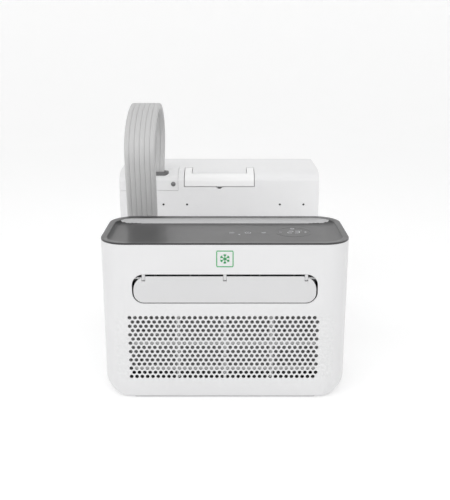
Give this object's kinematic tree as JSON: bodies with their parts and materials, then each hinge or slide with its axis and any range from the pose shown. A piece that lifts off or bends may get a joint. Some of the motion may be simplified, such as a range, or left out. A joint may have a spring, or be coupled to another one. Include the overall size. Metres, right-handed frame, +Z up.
{
  "type": "portable split air conditioner",
  "caption": "Portable split air conditioner: an indoor unit with a louvre flap and perforated inlet, a separate outdoor unit with a fan and folding handle, joined by a flat ribbed hose.",
  "frame": {"origin": "on the floor, in the middle of the outline of both units together", "axes": "+Z up, +X to the right of someone facing the indoor unit's front, -Y towards that person"},
  "size_m": [0.442, 0.567, 0.489],
  "materials": {
    "white_plastic": "satin white, fine moulded grain",
    "dark_grey_plastic": "satin dark grey",
    "inner_plastic": "plain moulded grey",
    "filter_plastic": "light grey moulded",
    "fan_plastic": "black moulded",
    "filter_fabric": "fine dark mesh",
    "rubber": "matt black",
    "hose_rubber": "mid grey, ribbed along its length",
    "zinc_steel": "zinc-plated",
    "fin_aluminium": "pressed fins",
    "copper_tube": "drawn copper tube",
    "black_enamel": "black enamel",
    "circuit_board": "green circuit board"
  },
  "bodies": {
    "units": {"indoor_front_casing": "white_plastic", "indoor_rear_casing": "white_plastic", "top_panel": "dark_grey_plastic", "control_board": "circuit_board", "front_foot_strip": "rubber", "rear_foot_strip": "rubber", "outlet_frame": "white_plastic", "flap_motor": "zinc_steel", "filter_rail_lower": "inner_plastic", "filter_rail_upper": "inner_plastic", "evaporator": "fin_aluminium", "drip_tray": "inner_plastic", "blower_plate_left": "inner_plastic", "blower_plate_right": "inner_plastic", "shaft_bearing": "rubber", "blower_motor": "zinc_steel", "blower_scroll": "inner_plastic", "outlet_tongue": "inner_plastic", "indoor_hose_cover": "white_plastic", "cord_gland": "rubber", "drain_plug": "rubber", "outdoor_casing": "white_plastic", "outdoor_rear_panel": "white_plastic", "fan_guard": "white_plastic", "outdoor_base_pan": "zinc_steel", "foot_front_left": "rubber", "foot_front_right": "rubber", "foot_rear_left": "rubber", "foot_rear_right": "rubber", "drain_nozzle": "rubber", "handle_housing": "white_plastic", "handle_pin_left": "zinc_steel", "handle_pin_right": "zinc_steel", "hose_plate": "white_plastic", "plate_screw": "zinc_steel", "hose_grommet": "rubber", "partition": "zinc_steel", "condenser": "fin_aluminium", "fan_motor": "zinc_steel", "motor_bracket": "zinc_steel", "fan_shroud": "inner_plastic", "compressor": "black_enamel", "accumulator": "black_enamel", "discharge_pipe": "copper_tube", "suction_pipe": "copper_tube", "outdoor_control_box": "inner_plastic", "flat_hose": "hose_rubber"},
    "flap": {"louvre_flap": "white_plastic"},
    "vane_1": {"vane_1": "inner_plastic"},
    "vane_2": {"vane_2": "inner_plastic"},
    "vane_3": {"vane_3": "inner_plastic"},
    "vane_4": {"vane_4": "inner_plastic"},
    "vane_5": {"vane_5": "inner_plastic"},
    "vane_link": {"vane_link": "inner_plastic"},
    "filter": {"filter_frame": "filter_plastic", "filter_mesh": "filter_fabric"},
    "blower": {"blower_rotor": "fan_plastic"},
    "fan": {"condenser_fan": "fan_plastic"},
    "handle": {"carry_handle": "white_plastic"}
  },
  "joints": [
    {"name": "flap_hinge", "type": "hinge", "parent": "units", "child": "flap", "pos_m": [0.006, -0.2775, 0.2236], "axis": [-1, 0, 0], "range_deg": [0, 60]},
    {"name": "vane_1_turn", "type": "hinge", "parent": "units", "child": "vane_1", "pos_m": [-0.114, -0.2605, 0.2054], "axis": [0, 0, 1], "range_deg": [-30, 30]},
    {"name": "vane_2_turn", "type": "hinge", "parent": "units", "child": "vane_2", "pos_m": [-0.054, -0.2605, 0.2054], "axis": [0, 0, 1], "range_deg": [-30, 30]},
    {"name": "vane_3_turn", "type": "hinge", "parent": "units", "child": "vane_3", "pos_m": [0.006, -0.2605, 0.2054], "axis": [0, 0, 1], "range_deg": [-30, 30]},
    {"name": "vane_4_turn", "type": "hinge", "parent": "units", "child": "vane_4", "pos_m": [0.066, -0.2605, 0.2054], "axis": [0, 0, 1], "range_deg": [-30, 30]},
    {"name": "vane_5_turn", "type": "hinge", "parent": "units", "child": "vane_5", "pos_m": [0.126, -0.2605, 0.2054], "axis": [0, 0, 1], "range_deg": [-30, 30]},
    {"name": "vane_link_slide", "type": "slide", "parent": "units", "child": "vane_link", "axis": [1, 0, 0], "range_m": [-0.007, 0.007]},
    {"name": "filter_slide", "type": "slide", "parent": "units", "child": "filter", "axis": [1, 0, 0], "range_m": [0, 0.3]},
    {"name": "blower_spin", "type": "hinge", "parent": "units", "child": "blower", "pos_m": [0.006, -0.16644, 0.196], "axis": [1, 0, 0], "continuous": true},
    {"name": "fan_spin", "type": "hinge", "parent": "units", "child": "fan", "pos_m": [0.06, 0.2475, 0.168], "axis": [0, 1, 0], "continuous": true},
    {"name": "handle_hinge", "type": "hinge", "parent": "units", "child": "handle", "pos_m": [-0.006, 0.1491, 0.3326], "axis": [-1, 0, 0], "range_deg": [0, 95]}
  ],
  "couplings": [
    {"joint": "vane_1_turn", "follows": "vane_link_slide", "rad_per_m": -74.79},
    {"joint": "vane_2_turn", "follows": "vane_link_slide", "rad_per_m": -74.79},
    {"joint": "vane_3_turn", "follows": "vane_link_slide", "rad_per_m": -74.79},
    {"joint": "vane_4_turn", "follows": "vane_link_slide", "rad_per_m": -74.79},
    {"joint": "vane_5_turn", "follows": "vane_link_slide", "rad_per_m": -74.79}
  ]
}
